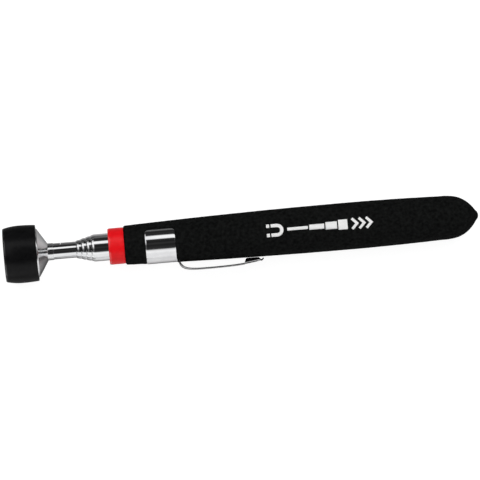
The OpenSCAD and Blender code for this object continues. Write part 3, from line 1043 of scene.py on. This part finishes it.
def make_mark(material):
    """A generic mark printed on the grip. The record has no finish for ink."""
    points = []
    faces = []
    horseshoe(MARK_START, points, faces)
    bars_end = stepped_bars(BARS_START, points, faces)
    chevrons(bars_end + CHEVRON_GAP, points, faces)
    piece = finish_mesh("grip_mark", points, faces, HANDLE)
    even_normals(piece)
    return paint(piece, material)


# ------------ inner CAD nodes
def finish_inner_nodes():
    """Parts that stay as CAD made them, with a better finish."""
    nodes = frame["nodes"]
    bronze = bronze_material().material
    brass = brass_material().material
    for k in range(1, LAST_SECTION):
        paint(nodes[f"friction_springs_{k}"], bronze)
        paint(nodes[f"stop_bush_{k}"], brass)
    paint(nodes["cup_rivet"], plated_steel_material().material)
    paint(nodes["handle_end_plug"], plug_material().material)


# ------------ studio
FLOOR_GAP = 0.1                 # between the floor and the head
FLOOR_Z = -SHIELD_R - FLOOR_GAP
FLOOR_SIZE = 60.0               # in metres
MIX_FIRST, MIX_SECOND, MIX_RESULT = 6, 7, 2     # the colour sockets of a Mix node
LENS = 600
SENSOR = 36
VIEW_WIDTH = 207.9              # what the camera sees across, at the tool's axis
LOOK_AT = (102.3, -2.0, 0)
CAMERA_TURN = math.radians(4.93)
# Brightness of the studio round the tool's axis: degrees from straight up, + towards +Y, and its level
STUDIO = (
    (-180, 0.50),
    (-110, 0.92),
    (-62, 0.94),
    (-50, 1.08),
    (-42, 0.85),
    (-35, 0.035),
    (-12, 0.015),
    (0, 0.035),
    (12, 0.015),
    (29, 0.03),
    (34.5, 1.10),
    (52, 1.15),
    (58.5, 0.03),
    (84, 0.02),
    (96, 0.10),
    (150, 0.40),
    (180, 0.50),
)
# Brightness of the studio's two ends: X of the direction, and its level
STUDIO_ENDS = (
    (-1, 0.7),
    (-0.92, 0.7),
    (-0.84, 0.02),
    (-0.62, 0.02),
    (-0.52, 1.0),
    (-0.32, 1.0),
    (-0.22, 0.0),
    (0.4, 0.0),
    (0.55, 0.4),
    (0.7, 0.4),
    (0.8, 0.02),
    (1, 0.02),
)
# The soft boxes stop short of the front: X of the direction, and what their level is multiplied by
BOX_REACH = (
    (-1, 0.1),
    (-0.72, 0.1),
    (-0.6, 1.0),
    (1, 1.0),
)
# What the ends are multiplied by round the tool's axis, in the same degrees as the studio
END_SPREAD = (
    (-180, 0.12),
    (-10, 0.12),
    (15, 1.0),
    (60, 1.0),
    (80, 0.0),
    (180, 0.0),
)
# The floor that the chrome sees gets painted shade round the head, in place of the head's shadow: X in
# millimetres, and a factor for its level
FLOOR_PAINTED_SHADE_X = (
    (-80, 1.6),
    (-40, 1.0),
    (-8, 0.4),
    (18, 0.45),
    (42, 1.0),
)
# What the chrome sees of the floor, with painted shade: a painted shadow under and beside the tool, and
# dimmer floor far out towards +Y. Y in millimetres and how light the floor is
FLOOR_PAINTED_SHADE_Y = (
    (-40, 0.95),
    (-22, 0.85),
    (-15, 0.5),
    (-9, 0.3),
    (7, 0.45),
    (13, 0.75),
    (24, 0.44),
    (36, 0.18),
    (40, 0.18),
)


def grey_ramp(nodes, levels):
    """A colour ramp of greys from (place, level) pairs, from the first pair's place to the last's."""
    start, end = levels[0][0], levels[-1][0]
    ramp = nodes.new("ShaderNodeValToRGB")
    elements = ramp.color_ramp.elements
    elements.remove(elements[1])
    elements[0].position = 0
    for i, (place, level) in enumerate(levels):
        element = elements[0] if i == 0 else elements.new((place - start) / (end - start))
        element.color = (level, level, level, 1)
    return ramp


def ranged(nodes, links, value, start, end):
    """The value's place between start and end, from 0 to 1."""
    node = nodes.new("ShaderNodeMapRange")
    node.inputs["From Min"].default_value = start
    node.inputs["From Max"].default_value = end
    links.new(value, node.inputs["Value"])
    return node.outputs["Result"]


def blended(nodes, links, blend_type, first, second):
    """Two colours mixed by the blend type."""
    node = nodes.new("ShaderNodeMix")
    node.data_type = "RGBA"
    node.blend_type = blend_type
    node.inputs["Factor"].default_value = 1
    links.new(first, node.inputs[MIX_FIRST])
    links.new(second, node.inputs[MIX_SECOND])
    return node.outputs[MIX_RESULT]


def add_world():
    """Long soft boxes along the tool, and a light wall at each end. The camera itself sees plain white."""
    world = bpy.data.worlds.new("studio")
    bpy.context.scene.world = world
    world.use_nodes = True
    nodes, links = world.node_tree.nodes, world.node_tree.links
    direction = nodes.new("ShaderNodeTexCoord")
    split = nodes.new("ShaderNodeSeparateXYZ")
    turn = nodes.new("ShaderNodeMath")
    turn.operation = "ARCTAN2"
    around = grey_ramp(nodes, STUDIO)
    ends = grey_ramp(nodes, STUDIO_ENDS)
    reach = grey_ramp(nodes, BOX_REACH)
    spread = grey_ramp(nodes, END_SPREAD)
    seen = nodes.new("ShaderNodeLightPath")
    mix = nodes.new("ShaderNodeMix")
    mix.data_type = "RGBA"
    mix.inputs[MIX_SECOND].default_value = (1, 1, 1, 1)
    links.new(direction.outputs["Generated"], split.inputs["Vector"])
    links.new(split.outputs["Y"], turn.inputs[0])
    links.new(split.outputs["Z"], turn.inputs[1])
    round_axis = ranged(nodes, links, turn.outputs["Value"], -math.pi, math.pi)
    links.new(round_axis, around.inputs["Fac"])
    links.new(round_axis, spread.inputs["Fac"])
    lengthwise = ranged(nodes, links, split.outputs["X"], -1, 1)
    links.new(lengthwise, ends.inputs["Fac"])
    links.new(lengthwise, reach.inputs["Fac"])
    boxes = blended(nodes, links, "MULTIPLY", around.outputs["Color"], reach.outputs["Color"])
    walls = blended(nodes, links, "MULTIPLY", ends.outputs["Color"], spread.outputs["Color"])
    links.new(blended(nodes, links, "LIGHTEN", boxes, walls), mix.inputs[MIX_FIRST])
    links.new(seen.outputs["Is Camera Ray"], mix.inputs["Factor"])
    links.new(mix.outputs[MIX_RESULT], nodes["Background"].inputs["Color"])


def add_floor():
    """A white floor. The camera sees it almost evenly white, and the chrome sees it with a painted shadow
    under the tool and painted shade round the head.
    """
    bpy.ops.mesh.primitive_plane_add(size=FLOOR_SIZE, location=(0, 0, FLOOR_Z * MM))
    floor = bpy.context.object
    floor.name = "floor"
    material = bpy.data.materials.new("floor_white")
    material.use_nodes = True
    nodes, links = material.node_tree.nodes, material.node_tree.links
    shader = nodes["Principled BSDF"]
    shader.inputs["Base Color"].default_value = (0.25, 0.25, 0.25, 1)
    shader.inputs["Roughness"].default_value = 0.9
    shader.inputs["Specular IOR Level"].default_value = 0.0
    shader.inputs["Emission Color"].default_value = (1, 1, 1, 1)
    shader.inputs["Emission Strength"].default_value = 0.92
    lit = nodes.new("ShaderNodeBsdfDiffuse")
    place = nodes.new("ShaderNodeNewGeometry")
    split = nodes.new("ShaderNodeSeparateXYZ")
    seen = nodes.new("ShaderNodeLightPath")
    mix = nodes.new("ShaderNodeMixShader")
    links.new(place.outputs["Position"], split.inputs["Vector"])
    # Painted shade on the floor the chrome sees: darker under the tool and round the head, in place of
    # their shadows
    ramps = []
    for axis, levels in (("Y", FLOOR_PAINTED_SHADE_Y), ("X", FLOOR_PAINTED_SHADE_X)):
        ramp = grey_ramp(nodes, levels)
        start, end = levels[0][0] * MM, levels[-1][0] * MM
        links.new(ranged(nodes, links, split.outputs[axis], start, end), ramp.inputs["Fac"])
        ramps.append(ramp.outputs["Color"])
    links.new(blended(nodes, links, "MULTIPLY", *ramps), lit.inputs["Color"])
    links.new(seen.outputs["Is Camera Ray"], mix.inputs["Fac"])
    links.new(lit.outputs["BSDF"], mix.inputs[1])
    links.new(shader.outputs["BSDF"], mix.inputs[2])
    links.new(mix.outputs["Shader"], nodes["Material Output"].inputs["Surface"])
    floor.data.materials.append(material)


def add_fill_light():
    """A soft light from above that shows the colours but isn't mirrored in the chrome."""
    light = bpy.data.lights.new("fill", "SUN")
    light.energy = 1.6
    light.angle = math.radians(60)
    lamp = bpy.data.objects.new("fill", light)
    lamp.rotation_euler = (math.radians(-32), 0, 0)
    lamp.visible_glossy = False
    bpy.context.scene.collection.objects.link(lamp)


def add_camera():
    """Straight down on the tool, with its tip towards the upper right corner."""
    distance = VIEW_WIDTH * LENS / SENSOR
    data = bpy.data.cameras.new("camera")
    data.lens = LENS
    data.sensor_width = SENSOR
    data.clip_start = 0.05
    data.clip_end = 100
    camera = bpy.data.objects.new("camera", data)
    camera.location = (Vector(LOOK_AT) + Vector((0, 0, distance))) * MM
    camera.rotation_euler = (0, 0, -CAMERA_TURN)
    bpy.context.scene.collection.objects.link(camera)
    bpy.context.scene.camera = camera


# ------------ the whole tool
def make_tool():
    """Every piece, from the magnet to the mark on the grip, and then the nodes kept from the CAD."""
    chrome = chrome_material().material
    make_shield(shield_material().material)
    make_pole_cup(plated_steel_material().material)
    make_magnet(nickel_material().material)
    make_spacer(resin_material().material)
    make_housing(turned_steel_material().material)
    make_rod(chrome)
    for k in range(2, LAST_SECTION + 1):
        make_tube(k, chrome)
    make_collar(collar_material().material)
    make_grip(foam_material().material)
    make_clip(clip_material().material)
    make_mark(ink_material().material)
    finish_inner_nodes()


add_camera()
add_world()
add_floor()
add_fill_light()
make_tool()
bpy.context.scene.view_settings.view_transform = "Standard"
